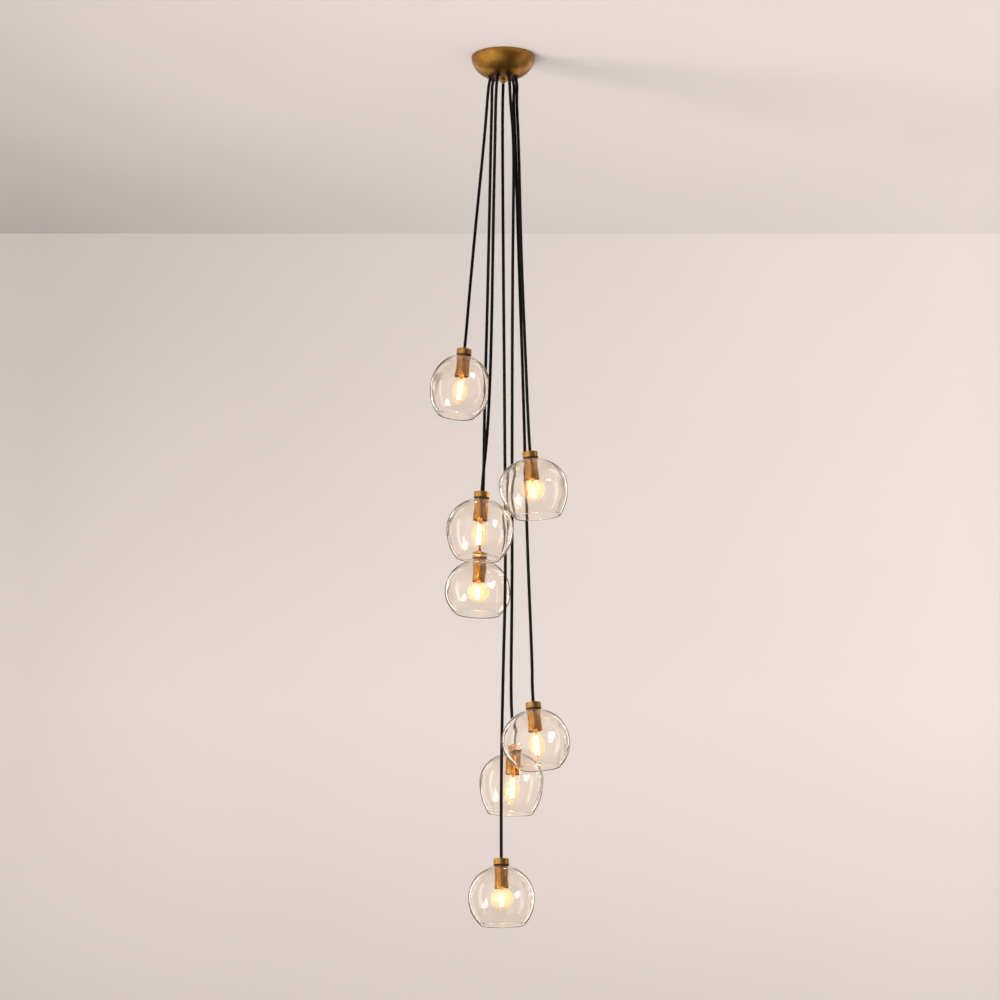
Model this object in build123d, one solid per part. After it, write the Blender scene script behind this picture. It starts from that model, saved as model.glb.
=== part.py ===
from build123d import *
import math
import os

# Cluster pendant: seven hand-blown glass shades, each hung on its own black
# fabric cord from one domed brass canopy. Millimetres, +Z up, +X to the right
# and +Y away from someone who faces it. The origin is the middle of the
# canopy's open face, where it meets the ceiling.

# ---------------------------------------------------------------- canopy
CANOPY_RADIUS = 74.0
CANOPY_DEPTH = 55.0
CANOPY_WALL = 1.5
CORD_CIRCLE_RADIUS = 29.5  # the seven cord holes lie on this circle
CORD_COUNT = 7
KNOB_RADIUS = 5.0
KNOB_LENGTH = 10.0
KNOB_END = 4.0  # solid end below the stud's bore

# ------------------------------------------------- crossbar and hanging stud
BAR_LENGTH = 130.0
BAR_WIDTH = 20.0
BAR_THICKNESS = 2.0
BOX_SCREW_SPACING = 88.9
BOX_SLOT_LENGTH = 16.0
BOX_SLOT_RADIUS = 2.4
STUD_RADIUS = 3.0
NUT_ACROSS_CORNERS = 11.5
NUT_HEIGHT = 5.0
GROUND_SCREW_INSET = 7.0  # from the end of the bar
GROUND_SCREW_HEAD_RADIUS = 3.2
GROUND_SCREW_RADIUS = 1.9

# ------------------------------------------------------ terminals and leads
TERMINAL_PITCH = 7.0
POLES_PER_BLOCK = 4
BLOCK_OFFSET = 7.0  # from the stud's axis to the block's near end
BLOCK_WIDTH = 16.0
BLOCK_HEIGHT = 12.0
TERMINAL_SCREW_RADIUS = 1.6
TERMINAL_SCREW_LENGTH = 5.0
LEAD_RADIUS = 1.3
LEAD_BEND_REACH = 16.0  # how far outside its block a lead turns in
LEAD_BEND_DROP = 8.0
LEAD_CORNER_RADIUS = 4.0

# ---------------------------------------------------- cord and its bushing
CORD_RADIUS = 3.5
BALL_RADIUS = 4.3  # the moulded end that carries the lamp's weight
BUSHING_SHANK_RADIUS = 5.6
BUSHING_SHANK_LENGTH = 11.0
BUSHING_FLANGE_RADIUS = 7.0
BUSHING_FLANGE_THICKNESS = 1.5
BALL_HEIGHT = 6.0  # the ball's centre above the dome's outer face
BUSHING_NUT_RADIUS = 7.6
BUSHING_NUT_HEIGHT = 3.5
BUSHING_NUT_SEAT = 0.5  # clears the dome's curve under the nut's corners
CORD_SWING_ROOM = 6.5  # degrees that the bushing's flare leaves for the cord
CORD_EXIT_RUN = 14.0  # straight stretch below the dome

# ------------------------------------------------------------- lamp fitting
CAP_RADIUS = 17.5
CAP_HEIGHT = 13.0
CAP_EDGE_RADIUS = 1.0
CORD_GRIP_DEPTH = 10.5
CORD_END_RUN = 30.0  # straight stretch above the cap
STEM_RADIUS = 5.0
WIRE_HOLE_RADIUS = 2.2
UPPER_GASKET_RADIUS = 17.5  # as wide as the cap
UPPER_GASKET_THICKNESS = 3.5
LOWER_GASKET_RADIUS = 14.0
LOWER_GASKET_THICKNESS = 1.0
CUP_RADIUS = 15.6
CUP_LENGTH = 44.0
CUP_WALL = 1.0
CUP_PLATE = 1.2
CUP_LIP = 0.9  # the rolled edge at the cup's mouth
HOLDER_RADIUS = 13.2
HOLDER_LENGTH = 38.0
STEM_THREAD_LENGTH = 6.0
SHELL_WALL = 0.8
SHELL_END_GAP = 2.0
TONGUE_THICKNESS = 0.6

# ---------------------------------------------------------------- bulb base
BASE_RADIUS = 6.95
BASE_WALL = 0.4
BASE_LENGTH = 19.0
BASE_CONE_LENGTH = 3.5
BASE_CONTACT_RADIUS = 2.4
BASE_CONTACT_LENGTH = 1.4
BULB_RECESS = 0.5  # the base's rim lies this far below the lampholder
NECK_INSERT = 5.0
ENVELOPE_WALL = 0.8
CANDLE_RADIUS = 18.0
CANDLE_LENGTH = 74.0
GLOBE_RADIUS = 25.5
STEM_GLASS_LENGTH = {"candle": 15.0, "globe": 19.0}
STEM_ROD_RADIUS = 1.1
SPIDER_RADIUS = 5.6
SPIDER_THICKNESS = 0.5
FILAMENT_RADIUS = 1.0
FILAMENT_CIRCLE = 4.2
FILAMENT_COUNT = 4
FILAMENT_LENGTH = {"candle": 44.0, "globe": 28.0}

# ------------------------------------------------------------------- shades
GLASS_WALL = 3.0
LIP_WALL = 4.4  # the fire-polished edge of the mouth is thicker
NECK_HOLE_RADIUS = 6.0
SHOULDER_RADIUS = 18.0  # flat seat of the upper washer, at the top of the glass

# ---------------------------------------------------------------- clearances
RUNNING_GAP = 0.1  # a stem, stud or shank in its hole
THREAD_GAP = 0.05
LOOSE_GAP = 0.3  # pieces of different bodies that nearly touch

# Each lamp: its hole in the canopy (counted clockwise from the back, seen from
# above), the middle of its cap's top, how far it leans to the right and to the
# back in mm per mm down, its glass (width, height, the belly's share of the
# height, mouth width, sideways and forward bulge of the belly, sideways shift
# of the mouth, how much wider than deep) and its bulb.
LAMPS = {
    1: dict(hole=5, top=(-88.6, -12.0, -704.9), lean=(-0.110, 0.000), bulb="candle",
            glass=dict(width=138.0, height=141.0, belly=0.53, mouth=83.0,
                       bulge=(1.5, -1.0), mouth_shift=-1.5, spread=0.010)),
    2: dict(hole=2, top=(60.4, -49.0, -953.1), lean=(0.087, 0.020), bulb="globe",
            glass=dict(width=153.0, height=133.0, belly=0.455, mouth=102.0,
                       bulge=(-1.0, 0.0), mouth_shift=5.0, spread=0.012)),
    3: dict(hole=4, top=(-48.2, -76.0, -1051.4), lean=(-0.058, 0.010), bulb="candle",
            glass=dict(width=150.0, height=136.5, belly=0.50, mouth=98.0,
                       bulge=(1.0, 0.5), mouth_shift=0.0, spread=0.005)),
    4: dict(hole=6, top=(-53.0, 64.0, -1164.9), lean=(-0.045, -0.005), bulb="globe",
            glass=dict(width=151.0, height=125.0, belly=0.58, mouth=100.0,
                       bulge=(-1.5, 1.0), mouth_shift=1.0, spread=-0.008)),
    5: dict(hole=1, top=(66.7, -32.0, -1522.1), lean=(0.079, -0.040), bulb="candle",
            glass=dict(width=151.0, height=132.0, belly=0.545, mouth=90.0,
                       bulge=(-2.7, -0.5), mouth_shift=3.0, spread=0.006)),
    6: dict(hole=3, top=(21.9, 88.0, -1602.8), lean=(-0.026, 0.000), bulb="candle",
            glass=dict(width=143.0, height=138.0, belly=0.47, mouth=101.0,
                       bulge=(-1.0, 0.0), mouth_shift=-2.0, spread=0.012)),
    7: dict(hole=0, top=(-4.6, 5.0, -1866.8), lean=(0.012, -0.020), bulb="globe",
            glass=dict(width=149.0, height=132.0, belly=0.54, mouth=96.0,
                       bulge=(-1.2, 0.5), mouth_shift=1.0, spread=-0.006)),
}

# Each cord's route between its straight exit from the canopy and its straight
# run into the cap. The lamps pull the cords nearly straight, so the runs are
# as long as the straight stretches of each cord.
ROUTES = {
    1: [(-36.7, -8.0, -107.3), (-43.8, -9.0, -204.5), (-62.3, -10.0, -397.1),
        (-78.5, -11.0, -583.1)],
    2: [(30.8, -11.0, -108.3), (35.8, -14.0, -210.9), (40.8, -22.0, -472.2),
        (50.4, -35.0, -722.9)],
    3: [(-17.4, -31.0, -114.9), (-18.5, -35.0, -193.2), (-22.6, -47.0, -394.6),
        (-27.2, -61.0, -716.8), (-34.6, -69.5, -904.8)],
    4: [(-26.1, 22.0, -97.5), (-28.6, 25.0, -193.4), (-32.0, 33.0, -372.5),
        (-37.6, 42.0, -633.2), (-43.2, 45.0, -833.5), (-44.9, 52.0, -1019.5)],
    5: [(23.5, 23.0, -97.1), (28.4, 27.0, -193.1), (35.1, 33.0, -456.6),
        (46.2, 37.0, -788.3), (53.9, 35.0, -1139.2), (64.9, -18.0, -1435.0)],
    6: [(16.4, -26.0, -113.3), (25.4, -20.0, -220.1), (21.8, -4.0, -467.1),
        (19.9, 15.5, -864.3), (20.2, 31.0, -1255.4), (16.5, 70.0, -1501.5)],
    7: [(-1.4, 32.0, -99.0), (-1.6, 30.0, -197.0), (-0.1, 24.0, -459.1),
        (2.8, 11.0, -818.1), (5.7, 5.0, -1225.7), (-0.3, 5.0, -1438.2),
        (-4.5, 5.5, -1657.3)],
}

# Levels down a lamp's own axis, from the middle of the cap's top
GLASS_TOP = -CAP_HEIGHT - UPPER_GASKET_THICKNESS
GLASS_UNDERSIDE = GLASS_TOP - GLASS_WALL
CUP_TOP = GLASS_UNDERSIDE - LOWER_GASKET_THICKNESS
HOLDER_TOP = CUP_TOP - CUP_PLATE
HOLDER_MOUTH = HOLDER_TOP - HOLDER_LENGTH
BASE_RIM = HOLDER_MOUTH - BULB_RECESS
BASE_TIP = BASE_RIM + BASE_LENGTH + BASE_CONE_LENGTH + BASE_CONTACT_LENGTH
TONGUE_LEVEL = BASE_TIP + LOOSE_GAP

# Radii that follow from the pieces inside
SHELL_BORE = BASE_RADIUS + LOOSE_GAP
HOLDER_BORE = SHELL_BORE + SHELL_WALL + THREAD_GAP
NECK_RADIUS = BASE_RADIUS - BASE_WALL - LOOSE_GAP


# --------------------------------------------------------------- small helpers
def turned(*outline):
    """A solid of revolution about Z from its (radius, height) outline."""
    edge = Polyline(*outline, close=True)
    return revolve(make_face(Plane.XZ * edge), Axis.Z)


def ring(outer, inner, bottom, top):
    """A round tube or washer about Z."""
    height = top - bottom
    body = Cylinder(outer, height) - Cylinder(inner, 2 * height)
    return Pos(0, 0, bottom + height / 2) * body


def rod(radius, bottom, top):
    """A round bar about Z."""
    return Pos(0, 0, (bottom + top) / 2) * Cylinder(radius, top - bottom)


def hex_nut(corner_radius, hole_radius, bottom, height):
    """A plain six-sided nut about Z."""
    blank = extrude(RegularPolygon(corner_radius, 6), height)
    return Pos(0, 0, bottom) * (blank - Cylinder(hole_radius, 3 * height))


def save(name, *solids):
    """Write one node, which may hold several separate solids."""
    pieces = []
    for solid in solids:
        pieces.extend(solid.solids())
    export_step(Compound(children=pieces), f"parts/{name}.step")


# ------------------------------------------------------------------ the canopy
def dome_height(radius, inset=0.0):
    """How far the dome hangs below the ceiling at a radius."""
    share = radius / (CANOPY_RADIUS - inset)
    return (CANOPY_DEPTH - inset) * math.sqrt(1 - share * share)


def hole_place(number):
    """The frame of one cord hole: on the dome's outer face, Z into the dome."""
    turn = math.radians(90 - number * 360 / CORD_COUNT)
    x = CORD_CIRCLE_RADIUS * math.cos(turn)
    y = CORD_CIRCLE_RADIUS * math.sin(turn)
    z = -dome_height(CORD_CIRCLE_RADIUS)
    outward = Vector(x / CANOPY_RADIUS**2, y / CANOPY_RADIUS**2, z / CANOPY_DEPTH**2)
    inward = outward.normalized() * -1
    return Plane(origin=(x, y, z), x_dir=(-y, x, 0), z_dir=inward)


def quarter_dome(inset):
    """Half of the dome's section, as an outline from its pole to its rim."""
    wide = CANOPY_RADIUS - inset
    deep = CANOPY_DEPTH - inset
    arc = EllipticalCenterArc((0, 0), wide, deep, start_angle=270, arc_size=90)
    sides = Polyline(arc @ 1, (0, 0), arc @ 0)
    return revolve(make_face(Plane.XZ * Curve(children=[arc, sides])), Axis.Z)


def canopy():
    """The thin domed shell with its cord holes and the stud's hole."""
    shell = quarter_dome(0) - quarter_dome(CANOPY_WALL)
    drill = Cylinder(BUSHING_SHANK_RADIUS + RUNNING_GAP, 8 * CANOPY_WALL)
    for number in range(CORD_COUNT):
        shell -= hole_place(number).location * drill
    stud_hole = rod(STUD_RADIUS + LOOSE_GAP, -CANOPY_DEPTH - 1, -CANOPY_DEPTH / 2)
    return shell - stud_hole


def canopy_knob():
    """The little turned nut that draws the dome up against the ceiling."""
    top = -CANOPY_DEPTH
    bottom = top - KNOB_LENGTH
    waist = 0.9 * KNOB_RADIUS
    tip = 0.65 * KNOB_RADIUS
    body = turned((0, top), (KNOB_RADIUS, top), (KNOB_RADIUS, top - 2), (waist, top - 3),
                  (waist, bottom + KNOB_END), (tip, bottom + 1), (tip - 1, bottom), (0, bottom))
    bore = rod(STUD_RADIUS + THREAD_GAP, bottom + KNOB_END, top + 1)
    return body - bore


def crossbar():
    """The steel strap that screws to the ceiling box."""
    flat = Rectangle(BAR_LENGTH, BAR_WIDTH)
    flat = fillet(flat.vertices(), BAR_WIDTH / 2 - 1)
    flat -= Circle(STUD_RADIUS + THREAD_GAP)
    for side in (-1, 1):
        slot = SlotOverall(BOX_SLOT_LENGTH, 2 * BOX_SLOT_RADIUS)
        flat -= Pos(side * BOX_SCREW_SPACING / 2, 0) * slot
    ground_x = BAR_LENGTH / 2 - GROUND_SCREW_INSET
    flat -= Pos(ground_x, 0) * Circle(GROUND_SCREW_RADIUS + THREAD_GAP)
    return extrude(flat, -BAR_THICKNESS)


def hanging_stud():
    """The threaded rod from the crossbar down through the dome."""
    return rod(STUD_RADIUS, -CANOPY_DEPTH - KNOB_LENGTH + KNOB_END + LOOSE_GAP, 0)


def stud_nuts():
    """One nut locks the stud to the bar, one backs the dome from inside."""
    hole = STUD_RADIUS + THREAD_GAP
    corner = NUT_ACROSS_CORNERS / 2
    under_bar = hex_nut(corner, hole, -BAR_THICKNESS - NUT_HEIGHT, NUT_HEIGHT)
    seat = CANOPY_WALL - dome_height(0)
    above_dome = hex_nut(corner, hole, seat + LOOSE_GAP, NUT_HEIGHT)
    return under_bar, above_dome


def ground_screw():
    """The earthing screw in the end of the crossbar."""
    x = BAR_LENGTH / 2 - GROUND_SCREW_INSET
    head = rod(GROUND_SCREW_HEAD_RADIUS, -BAR_THICKNESS - 2.2, -BAR_THICKNESS)
    head = fillet(head.edges().group_by(Axis.Z)[0], 0.8)
    shank = rod(GROUND_SCREW_RADIUS, -BAR_THICKNESS, 0)
    return Pos(x, 0, 0) * (head + shank)


def pole_x(side, pole):
    """The middle of one terminal along the bar."""
    return side * (BLOCK_OFFSET + (pole + 0.5) * TERMINAL_PITCH)


def terminal_blocks():
    """Two plastic terminal strips under the crossbar, one each side of the stud."""
    length = POLES_PER_BLOCK * TERMINAL_PITCH
    top = -BAR_THICKNESS
    blocks = []
    for side in (-1, 1):
        centre = side * (BLOCK_OFFSET + length / 2)
        block = Pos(centre, 0, top - BLOCK_HEIGHT / 2) * Box(length, BLOCK_WIDTH, BLOCK_HEIGHT)
        block = fillet(block.edges().filter_by(Axis.X).group_by(Axis.Z)[0], 2.0)
        for pole in range(POLES_PER_BLOCK):
            pocket = rod(TERMINAL_SCREW_RADIUS + RUNNING_GAP, top - BLOCK_HEIGHT - 1,
                         top - BLOCK_HEIGHT + TERMINAL_SCREW_LENGTH)
            block -= Pos(pole_x(side, pole), 0, 0) * pocket
        blocks.append(block)
    return blocks


def terminal_screws():
    """The clamping screws, flush with the underside of the strips."""
    bottom = -BAR_THICKNESS - BLOCK_HEIGHT
    screw = rod(TERMINAL_SCREW_RADIUS, bottom, bottom + TERMINAL_SCREW_LENGTH)
    screw -= Pos(0, 0, bottom) * Box(4 * TERMINAL_SCREW_RADIUS, 0.6, 1.6)
    places = [(side, pole) for side in (-1, 1) for pole in range(POLES_PER_BLOCK)]
    return [Pos(pole_x(side, pole), 0, 0) * screw for side, pole in places]


# The terminal that each lamp's lead runs to: side of the stud, pole, and the
# front (-1) or back (+1) face of the strip
TERMINAL_OF = {1: (-1, 3, -1), 2: (1, 3, -1), 3: (-1, 1, -1), 4: (-1, 2, 1),
               5: (1, 2, 1), 6: (1, 1, -1), 7: (1, 0, 1)}


def inner_lead(number):
    """The stripped lead from the top of a cord to its terminal."""
    place = hole_place(LAMPS[number]["hole"])
    start = BALL_HEIGHT + BALL_RADIUS + LOOSE_GAP
    side, pole, face = TERMINAL_OF[number]
    level = -BAR_THICKNESS - BLOCK_HEIGHT / 2
    wall = face * BLOCK_WIDTH / 2
    points = [
        place.from_local_coords((0, 0, start)),
        place.from_local_coords((0, 0, start + LEAD_BEND_DROP)),
        Vector(pole_x(side, pole), wall + face * LEAD_BEND_REACH, level - LEAD_BEND_DROP),
        Vector(pole_x(side, pole), wall, level),
    ]
    path = FilletPolyline(*points, radius=LEAD_CORNER_RADIUS)
    section = Plane(origin=points[0], z_dir=path % 0) * Circle(LEAD_RADIUS)
    tube = sweep(section, path=path)
    # the lead's end lies flat on the strip's face
    beyond = Pos(pole_x(side, pole), wall - face * BLOCK_WIDTH / 2, level)
    return tube - beyond * Box(TERMINAL_PITCH, BLOCK_WIDTH, BLOCK_HEIGHT)


# ---------------------------------------------------- bushings and their cords
def swing_flare(level):
    """The radius that a swinging cord needs at a level in its bushing."""
    reach = BALL_HEIGHT - level
    sideways = reach * math.tan(math.radians(CORD_SWING_ROOM))
    return CORD_RADIUS / math.cos(math.radians(CORD_SWING_ROOM)) + sideways + RUNNING_GAP


def cord_bushing():
    """A flanged bushing with a seat for the cord's ball and a flared mouth."""
    top = BUSHING_SHANK_LENGTH
    body = rod(BUSHING_SHANK_RADIUS, 0, top)
    body += rod(BUSHING_FLANGE_RADIUS, -BUSHING_FLANGE_THICKNESS, 0)
    seat_radius = BALL_RADIUS + RUNNING_GAP
    seat = Pos(0, 0, BALL_HEIGHT) * Sphere(seat_radius)
    lift = rod(seat_radius, BALL_HEIGHT, top + 1)
    throat = BALL_HEIGHT - 2.0
    mouth = -BUSHING_FLANGE_THICKNESS
    flare = turned((0, throat), (swing_flare(throat), throat),
                   (swing_flare(mouth - 1), mouth - 1), (0, mouth - 1))
    return body - seat - lift - flare


def bushing_nut():
    """The nut inside the dome that holds a bushing."""
    inner_face = CANOPY_WALL + BUSHING_NUT_SEAT
    hole = BUSHING_SHANK_RADIUS + THREAD_GAP
    return hex_nut(BUSHING_NUT_RADIUS, hole, inner_face, BUSHING_NUT_HEIGHT)


def lamp_place(number):
    """A lamp's own frame: the middle of its cap's top, Z up along the cord."""
    right, back = LAMPS[number]["lean"]
    return Plane(origin=LAMPS[number]["top"], x_dir=(1, 0, right), z_dir=(-right, -back, 1))


def cord_points(number):
    """The cord's route, from the ball in its bushing to its end in the cap."""
    hole = hole_place(LAMPS[number]["hole"])
    lamp = lamp_place(number)
    start = [hole.from_local_coords((0, 0, BALL_HEIGHT)),
             hole.from_local_coords((0, 0, -CORD_EXIT_RUN))]
    end = [lamp.from_local_coords((0, 0, CORD_END_RUN)),
           lamp.from_local_coords((0, 0, -CORD_GRIP_DEPTH))]
    return start + [Vector(*point) for point in ROUTES[number]] + end


def corner_radii(points):
    """The largest arc that each corner's two runs allow."""
    radii = []
    for before, corner, after in zip(points, points[1:], points[2:]):
        arriving = corner - before
        leaving = after - corner
        half_turn = math.radians(arriving.get_angle(leaving)) / 2
        radii.append(0.45 * min(arriving.length, leaving.length) / math.tan(half_turn))
    return radii


def cord(number):
    """The fabric cord with its moulded ball, pulled tight by the lamp."""
    points = cord_points(number)
    radii = corner_radii(points)
    path = FilletPolyline(*points, radius=radii)
    section = Plane(origin=points[0], z_dir=path % 0) * Circle(CORD_RADIUS)
    tube = sweep(section, path=path)
    expected = math.pi * CORD_RADIUS**2 * path.length
    print(f"cord_{number} length {path.length:.1f} mm, volume off by "
          f"{100 * (tube.volume / expected - 1):.3f}%, radii {[round(r) for r in radii]}")
    return tube + Pos(*points[0]) * Sphere(BALL_RADIUS)


# --------------------------------------------------------------- lamp fittings
def cap():
    """The brass cap with its cord bore and the stem that carries the glass."""
    stem_end = HOLDER_TOP - STEM_THREAD_LENGTH
    body = rod(CAP_RADIUS, -CAP_HEIGHT, 0)
    body = fillet(body.edges().group_by(Axis.Z)[-1], CAP_EDGE_RADIUS)
    body += rod(STEM_RADIUS, stem_end, -CAP_HEIGHT)
    body -= rod(CORD_RADIUS + LOOSE_GAP, -CORD_GRIP_DEPTH - LOOSE_GAP, 1)
    return body - rod(WIRE_HOLE_RADIUS, stem_end - 1, 0)


def socket_cup():
    """The brass cup round the lampholder, with a rolled edge at its mouth."""
    bottom = CUP_TOP - CUP_LENGTH
    inner = CUP_RADIUS - CUP_WALL
    body = turned((STEM_RADIUS + RUNNING_GAP, CUP_TOP), (CUP_RADIUS - 1, CUP_TOP),
                  (CUP_RADIUS, CUP_TOP - 1), (CUP_RADIUS, bottom + 2 * CUP_LIP),
                  (CUP_RADIUS + CUP_LIP / 2, bottom + CUP_LIP), (CUP_RADIUS, bottom),
                  (inner, bottom), (inner, CUP_TOP - CUP_PLATE),
                  (STEM_RADIUS + RUNNING_GAP, CUP_TOP - CUP_PLATE))
    return body


def shade_gaskets():
    """Rubber washers above and below the glass, round the cap's stem."""
    hole = STEM_RADIUS + RUNNING_GAP
    upper = ring(UPPER_GASKET_RADIUS, hole, GLASS_TOP, -CAP_HEIGHT)
    lower = ring(LOWER_GASKET_RADIUS, hole, CUP_TOP, GLASS_UNDERSIDE)
    return upper, lower


def lampholder():
    """The insulating body with its screw shell and centre contact."""
    body = ring(HOLDER_RADIUS, HOLDER_BORE, HOLDER_MOUTH, HOLDER_TOP)
    ceiling = TONGUE_LEVEL + TONGUE_THICKNESS
    core = ring(HOLDER_BORE, STEM_RADIUS + RUNNING_GAP, ceiling, HOLDER_TOP)
    floor = ring(HOLDER_BORE, WIRE_HOLE_RADIUS, ceiling, HOLDER_TOP - STEM_THREAD_LENGTH)
    body = body + core + floor
    shell_top = ceiling - SHELL_END_GAP
    shell = ring(HOLDER_BORE - THREAD_GAP, SHELL_BORE, HOLDER_MOUTH + SHELL_END_GAP, shell_top)
    tongue = rod(WIRE_HOLE_RADIUS + 2, TONGUE_LEVEL, ceiling)
    return body, shell, tongue


# -------------------------------------------------------------------- the bulb
def bulb_base():
    """The screw base: brass shell, insulating cone and contact button."""
    shoulder = BASE_RIM + BASE_LENGTH
    inner = BASE_RADIUS - BASE_WALL
    shell = ring(BASE_RADIUS, inner, BASE_RIM, shoulder)
    cone_top = shoulder + BASE_CONE_LENGTH
    cone = turned((0, shoulder - 2), (inner - THREAD_GAP, shoulder - 2),
                  (inner - THREAD_GAP, shoulder), (BASE_CONTACT_RADIUS + 1, cone_top), (0, cone_top))
    button = rod(BASE_CONTACT_RADIUS, cone_top, cone_top + BASE_CONTACT_LENGTH)
    return shell, cone, button


def candle_outline(inset):
    """Half of the pointed bulb's section, below its base's rim."""
    neck = NECK_RADIUS - inset
    wide = CANDLE_RADIUS - inset
    long = CANDLE_LENGTH - inset
    flank = Spline((neck, -1), (0.66 * wide, -0.2 * CANDLE_LENGTH), (wide, -0.46 * CANDLE_LENGTH),
                   (0.66 * wide, -0.75 * CANDLE_LENGTH), (0, -long),
                   tangents=[(0, -1), (-1, -0.25)])
    return flank, long


def globe_outline(inset):
    """Half of the round bulb's section, below its base's rim."""
    radius = GLOBE_RADIUS - inset
    neck = NECK_RADIUS - inset
    join = 0.43 * GLOBE_RADIUS
    centre = -4.5 - math.sqrt(GLOBE_RADIUS**2 - join**2)
    rise = math.sqrt(radius**2 - join**2)
    blend = Spline((neck, -1), (join, centre + rise), tangents=[(0, -1), (rise, -join)])
    ball = ThreePointArc((join, centre + rise), (radius * math.sin(1.9), centre + radius * math.cos(1.9)),
                         (0, centre - radius))
    return Curve(children=[blend, ball]), radius - centre


def envelope_solid(kind, inset, neck_top):
    """The bulb's glass, filled, from the top of its neck to its tip."""
    outline, depth = candle_outline(inset) if kind == "candle" else globe_outline(inset)
    neck = NECK_RADIUS - inset
    closing = Polyline((0, -depth), (0, neck_top), (neck, neck_top), (neck, -1))
    pieces = Curve(children=[*outline.edges(), *closing.edges()])
    return revolve(make_face(Plane.XZ * pieces), Axis.Z)


def bulb_glass(kind):
    """The clear envelope, its glass stem with the lead wires, and the filaments."""
    envelope = envelope_solid(kind, 0, NECK_INSERT)
    envelope -= envelope_solid(kind, ENVELOPE_WALL, NECK_INSERT + 1)
    upper = -STEM_GLASS_LENGTH[kind]
    length = FILAMENT_LENGTH[kind]
    lower = upper - SPIDER_THICKNESS - length
    throat = NECK_RADIUS - ENVELOPE_WALL - LOOSE_GAP
    stem = turned((0, NECK_INSERT), (throat, NECK_INSERT), (throat, NECK_INSERT - 1), (3, -4),
                  (2, upper), (0, upper))
    stem += rod(STEM_ROD_RADIUS, lower, upper)
    stem += rod(SPIDER_RADIUS, upper - SPIDER_THICKNESS, upper)
    stem += rod(SPIDER_RADIUS, lower - SPIDER_THICKNESS, lower)
    filament = Pos(FILAMENT_CIRCLE, 0, 0) * rod(FILAMENT_RADIUS, lower, upper - SPIDER_THICKNESS)
    filaments = [Rot(0, 0, 45 + turn * 360 / FILAMENT_COUNT) * filament
                 for turn in range(FILAMENT_COUNT)]
    return [Pos(0, 0, BASE_RIM) * solid for solid in (envelope, stem, *filaments)]


# ------------------------------------------------------------------ the shades
BELLY_STEPS = 4  # sections from the shoulder to the belly
MOUTH_STEPS = 3  # sections from the belly to the mouth


def glass_sections(glass, inset, lip):
    """Ellipses down a shade's wall, its outer face or, inset, its inner one."""
    radius = glass["width"] / 2 - inset
    rise = glass["belly"] * glass["height"] - inset
    drop = (1 - glass["belly"]) * glass["height"]
    mouth = glass["mouth"] / 2 - lip
    upper_depth = rise / math.sqrt(1 - (SHOULDER_RADIUS / radius)**2)
    lower_depth = drop / math.sqrt(1 - (mouth / radius)**2)
    shoulder_angle = math.acos(SHOULDER_RADIUS / radius)
    mouth_angle = math.acos(mouth / radius)
    angles = [shoulder_angle * (1 - step / BELLY_STEPS) for step in range(BELLY_STEPS + 1)]
    angles += [-mouth_angle * step / MOUTH_STEPS for step in range(1, MOUTH_STEPS + 1)]
    belly_level = GLASS_TOP - inset - rise
    sections = []
    for angle in angles:
        depth = upper_depth if angle > 0 else lower_depth
        level = belly_level + depth * math.sin(angle)
        share = (GLASS_TOP - level) / glass["height"]
        swell = math.sin(math.pi * share)
        across = radius * math.cos(angle)
        shift_x = glass["bulge"][0] * swell + glass["mouth_shift"] * share**2
        shift_y = glass["bulge"][1] * swell
        oval = Ellipse(across * (1 + glass["spread"] * swell), across * (1 - glass["spread"] * swell))
        sections.append(Pos(shift_x, shift_y, level) * oval)
    return sections


def shade(glass):
    """A hand-blown globe, a little uneven, open at the bottom."""
    blown = loft(glass_sections(glass, 0, 0))
    blown -= loft(glass_sections(glass, GLASS_WALL, LIP_WALL))
    return blown - rod(NECK_HOLE_RADIUS, GLASS_UNDERSIDE - 1, GLASS_TOP + 1)


# ------------------------------------------------------------------- the model
def build_canopy():
    """Everything that stays on the ceiling."""
    save("canopy", canopy())
    save("crossbar", crossbar())
    save("hanging_stud", hanging_stud())
    save("stud_nuts", *stud_nuts())
    save("canopy_knob", canopy_knob())
    save("ground_screw", ground_screw())
    save("terminal_blocks", *terminal_blocks())
    save("terminal_screws", *terminal_screws())
    save("inner_leads", *[inner_lead(number) for number in LAMPS])
    places = [hole_place(number).location for number in range(CORD_COUNT)]
    save("cord_bushings", *[place * cord_bushing() for place in places])
    save("bushing_nuts", *[place * bushing_nut() for place in places])


def build_lamp(number, spec):
    """One cord and the lamp on its end."""
    place = lamp_place(number).location
    save(f"cord_{number}", cord(number))
    save(f"cap_{number}", place * cap())
    save(f"shade_{number}", place * shade(spec["glass"]))
    save(f"socket_cup_{number}", place * socket_cup())
    holder = [*lampholder(), *shade_gaskets()]
    save(f"lampholder_{number}", *[place * solid for solid in holder])
    save(f"bulb_base_{number}", *[place * solid for solid in bulb_base()])
    save(f"bulb_glass_{number}", *[place * solid for solid in bulb_glass(spec["bulb"])])


os.makedirs("parts", exist_ok=True)
build_canopy()
for lamp_number, lamp_spec in LAMPS.items():
    build_lamp(lamp_number, lamp_spec)
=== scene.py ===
import math

import bmesh
import bpy
import numpy as np
from mathutils import Matrix, Vector, noise


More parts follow.
